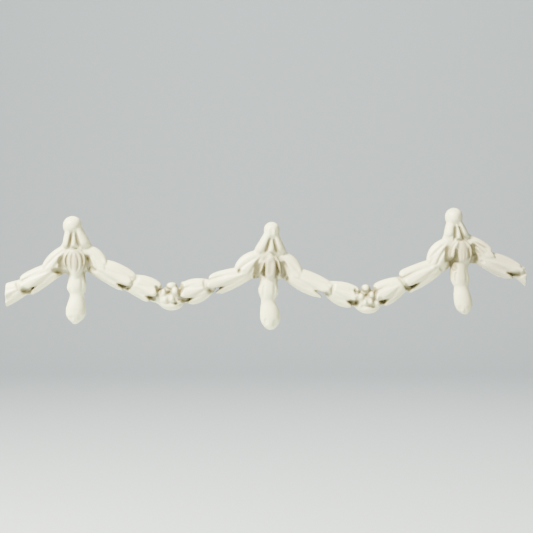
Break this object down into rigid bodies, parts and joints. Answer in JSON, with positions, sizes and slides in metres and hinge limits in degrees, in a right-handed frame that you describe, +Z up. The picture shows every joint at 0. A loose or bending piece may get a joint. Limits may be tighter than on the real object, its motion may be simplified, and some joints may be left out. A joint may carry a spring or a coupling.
{
  "type": "festoon swag ornament",
  "caption": "Cast relief appliqué with garlands of bellflower husks draped between crowns that each drop a bud pendant, flat at the back.",
  "frame": {"origin": "on the flat back face, behind the heart of the centre crown, where its crest meets its bellflower", "axes": "+Z up, +X along the festoon to its viewer's right, the carved front faces -Y and the flat back faces +Y"},
  "size_m": [0.3123, 0.0095, 0.0733],
  "materials": {
    "resin": "unpainted cream casting resin with a soft sheen"
  },
  "bodies": {
    "root": {"festoon_swag": "resin"}
  },
  "joints": []
}
